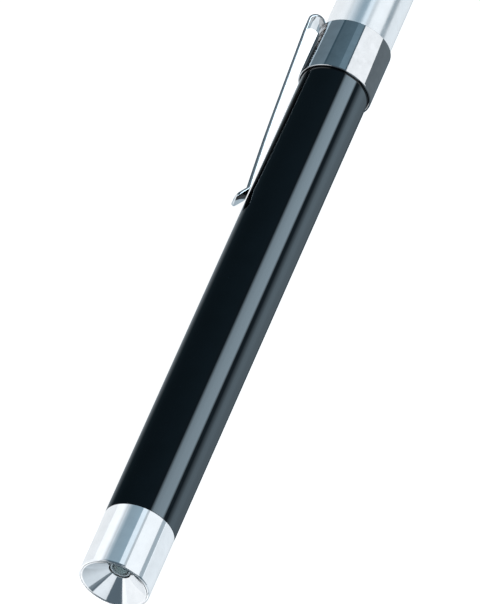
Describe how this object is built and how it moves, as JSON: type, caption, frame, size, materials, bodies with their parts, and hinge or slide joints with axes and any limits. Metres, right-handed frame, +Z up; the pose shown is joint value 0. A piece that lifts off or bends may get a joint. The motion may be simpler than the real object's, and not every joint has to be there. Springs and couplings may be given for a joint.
{
  "type": "penlight",
  "caption": "Slim pocket penlight: black lacquered barrel, bright head with a conical reflector, sprung pocket clip on a band, and a push-button tail switch.",
  "frame": {"origin": "on the axis, in the plane where the bright head meets the black barrel", "axes": "+X along the axis, the way the beam leaves; +Z up as it lies on its band and on one edge of its clip; the clip stands out towards -Y, 32.6 degrees below the horizontal"},
  "size_m": [0.1473, 0.0163, 0.014],
  "materials": {
    "black_lacquer": "gloss black lacquer over an aluminium tube",
    "bright_aluminium": "turned and polished",
    "chromed_steel": "polished chrome on spring sheet",
    "rubber": "matt",
    "lens": "clear moulded epoxy",
    "plain_steel": "bright nickel plate",
    "white_plastic": "moulded, satin",
    "green_board": "solder mask",
    "black_plastic": "moulded, satin",
    "brass": "bright",
    "cell_metal": "nickel-plated can",
    "cell_label": "plain shrink sleeve",
    "button_plastic": "gloss black"
  },
  "bodies": {
    "barrel": {"barrel": "black_lacquer", "clip_band": "chromed_steel", "front_cell_can": "cell_metal", "front_cell_terminal": "plain_steel", "front_cell_label": "cell_label", "rear_cell_can": "cell_metal", "rear_cell_terminal": "plain_steel", "rear_cell_label": "cell_label"},
    "clip": {"clip_arm": "chromed_steel"},
    "head_ring": {"head_seal": "rubber"},
    "head": {"head_shell": "bright_aluminium", "lamp": "lens", "lamp_leads": "plain_steel", "lamp_holder": "white_plastic", "driver_board": "green_board", "resistor": "black_plastic", "ground_ring": "brass", "lamp_plug": "black_plastic", "front_contact": "brass"},
    "tail_ring": {"tail_seal": "rubber"},
    "tail": {"tail_cap": "bright_aluminium", "cell_spring": "plain_steel", "retaining_ring": "brass", "spring_plate": "brass", "side_contact": "brass", "switch_housing": "black_plastic", "return_spring": "plain_steel"},
    "button": {"push_button": "button_plastic", "plunger": "white_plastic", "bridge_contact": "brass"}
  },
  "joints": [
    {"name": "clip_flex", "type": "hinge", "parent": "barrel", "child": "clip", "pos_m": [-0.11429, -0.00571, -0.00365], "axis": [0, 0.5393, -0.8421], "range_deg": [0, 4], "stiffness_Nm_per_rad": 1.5},
    {"name": "head_advance", "type": "slide", "parent": "barrel", "child": "head_ring", "axis": [1, 0, 0], "range_m": [0, 0.00375]},
    {"name": "head_turn", "type": "hinge", "parent": "head_ring", "child": "head", "pos_m": [0, 0, 0], "axis": [1, 0, 0], "range_deg": [0, 1800]},
    {"name": "tail_advance", "type": "slide", "parent": "barrel", "child": "tail_ring", "axis": [-1, 0, 0], "range_m": [0, 0.00375], "deforming": ["cell_spring"]},
    {"name": "tail_turn", "type": "hinge", "parent": "tail_ring", "child": "tail", "pos_m": [-0.1087, 0, 0], "axis": [-1, 0, 0], "range_deg": [0, 1800]},
    {"name": "button_press", "type": "slide", "parent": "tail", "child": "button", "axis": [1, 0, 0], "range_m": [0, 0.0019], "stiffness_N_per_m": 800, "springref_m": -0.0015, "deforming": ["return_spring"]}
  ],
  "couplings": [
    {"joint": "head_turn", "follows": "head_advance", "rad_per_m": 8377.6},
    {"joint": "tail_turn", "follows": "tail_advance", "rad_per_m": 8377.6}
  ]
}
